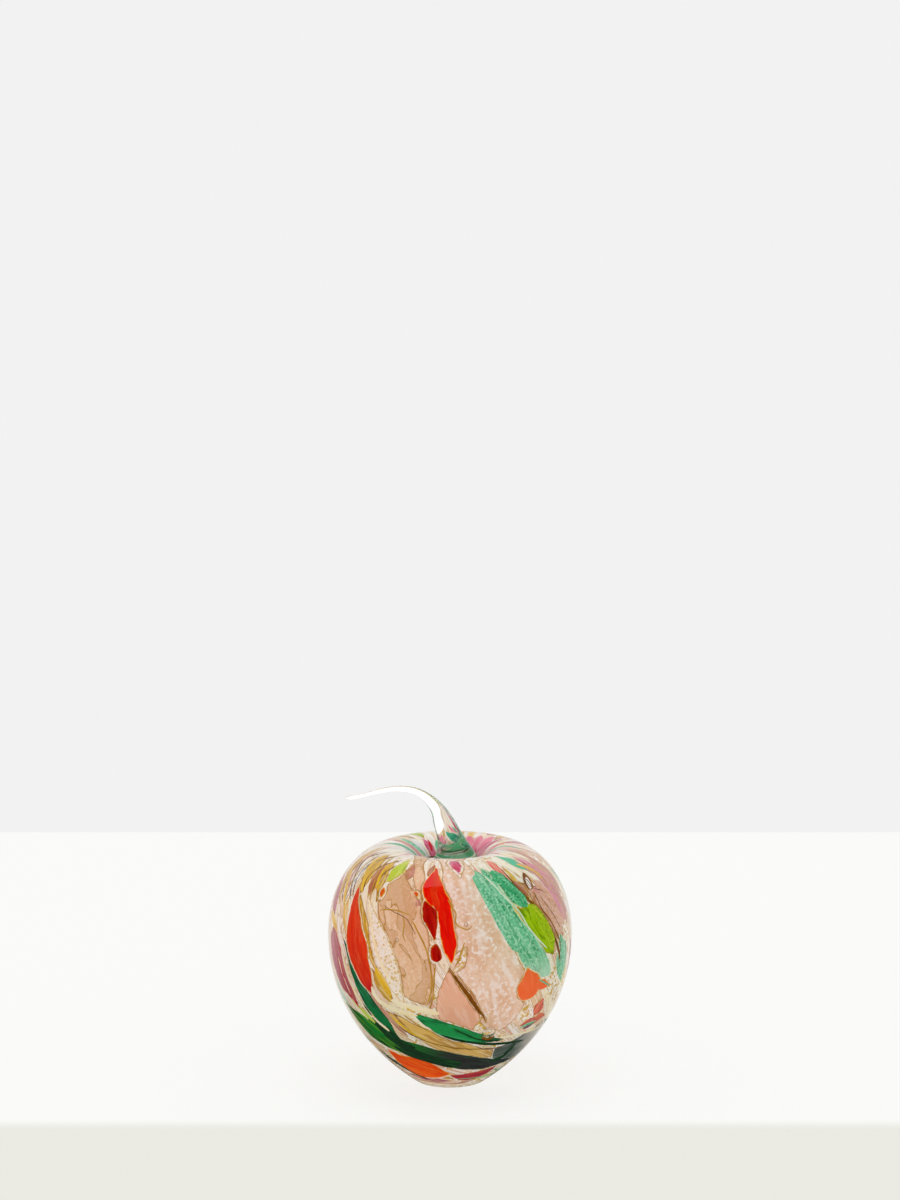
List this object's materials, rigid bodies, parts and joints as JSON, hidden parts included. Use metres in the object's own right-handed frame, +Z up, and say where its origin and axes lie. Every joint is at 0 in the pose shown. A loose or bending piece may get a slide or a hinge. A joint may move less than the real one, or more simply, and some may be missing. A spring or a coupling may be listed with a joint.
{
  "type": "art glass apple",
  "caption": "Apple-shaped ornament of clear cased glass over coloured glass chips, with a drawn, curved glass stem, to stand on a table or shelf.",
  "frame": {"origin": "middle of the flat ground base", "axes": "+Z up along the apple's axis, the front of the apple towards -Y, the stem bent towards -X"},
  "size_m": [0.09, 0.09, 0.1115],
  "materials": {
    "clear_crystal": "fire-polished clear crystal glass",
    "drawn_crystal": "hot-drawn clear crystal glass",
    "ivory_glass": "opaque ivory glass with gold flecks",
    "opal_glass": "opal white glass",
    "gather_glass": "blown gather of pale glass",
    "scarlet_glass": "opaque scarlet glass chip",
    "garnet_glass": "deep garnet glass chip",
    "coral_glass": "opaque coral glass chip",
    "orange_glass": "opaque orange glass chip",
    "crimson_glass": "opaque crimson glass chip",
    "rose_glass": "opaque rose glass chip",
    "pink_glass": "opaque pink glass chip",
    "tan_glass": "mottled tan glass patch",
    "caramel_glass": "streaky caramel glass",
    "brown_glass": "drawn brown glass thread",
    "gold_glass": "amber glass with gold flecks",
    "silver_glass": "silvery white glass",
    "bottle_glass": "near-black bottle green glass",
    "forest_glass": "dark green glass chip",
    "emerald_glass": "emerald glass chip",
    "mint_glass": "streaky mint green glass",
    "lime_glass": "lime glass chip",
    "slate_glass": "grey-green glass chip"
  },
  "bodies": {
    "root": {"clear_casing": "clear_crystal", "stem": "drawn_crystal", "ivory_ground": "ivory_glass", "opal_skin": "opal_glass", "core_gather": "gather_glass", "brown_threads": "brown_glass", "orange_spots": "orange_glass", "garnet_drop": "garnet_glass", "scarlet_blade": "scarlet_glass", "garnet_blade": "garnet_glass", "vermilion_blade": "scarlet_glass", "coral_tooth": "coral_glass", "red_crumbs": "coral_glass", "magenta_wedge": "crimson_glass", "bottle_band": "bottle_glass", "grass_leaf": "forest_glass", "orange_chip": "orange_glass", "crimson_sliver": "crimson_glass", "emerald_leaf": "emerald_glass", "forest_leaf": "forest_glass", "slate_chip": "slate_glass", "pink_oval": "pink_glass", "caramel_streak": "caramel_glass", "mint_band": "mint_glass", "fern_leaf": "emerald_glass", "lime_patch": "lime_glass", "moss_chip": "mint_glass", "top_green_leaf": "mint_glass", "coral_streak": "coral_glass", "brown_streaks": "caramel_glass", "russet_line": "brown_glass", "magenta_streak": "rose_glass", "pink_patch": "pink_glass", "lime_streaks": "lime_glass", "gold_streaks": "gold_glass", "silver_streak": "silver_glass", "rose_streaks": "rose_glass", "sage_streak": "mint_glass", "charcoal_sliver": "bottle_glass", "plum_sliver": "rose_glass", "mica_bands": "silver_glass", "back_red_blades": "scarlet_glass", "back_green_leaves": "forest_glass", "back_mint_band": "mint_glass", "back_lime_chips": "lime_glass", "back_coral_chips": "coral_glass", "back_bottle_band": "bottle_glass", "back_orange_chips": "orange_glass", "tan_patch_left": "tan_glass", "tan_patch_right": "tan_glass", "back_tan_patches": "tan_glass", "dimple_green_streaks": "emerald_glass", "dimple_rose_streaks": "rose_glass", "dimple_pearl_streaks": "silver_glass", "dimple_red_streaks": "coral_glass"}
  },
  "joints": []
}
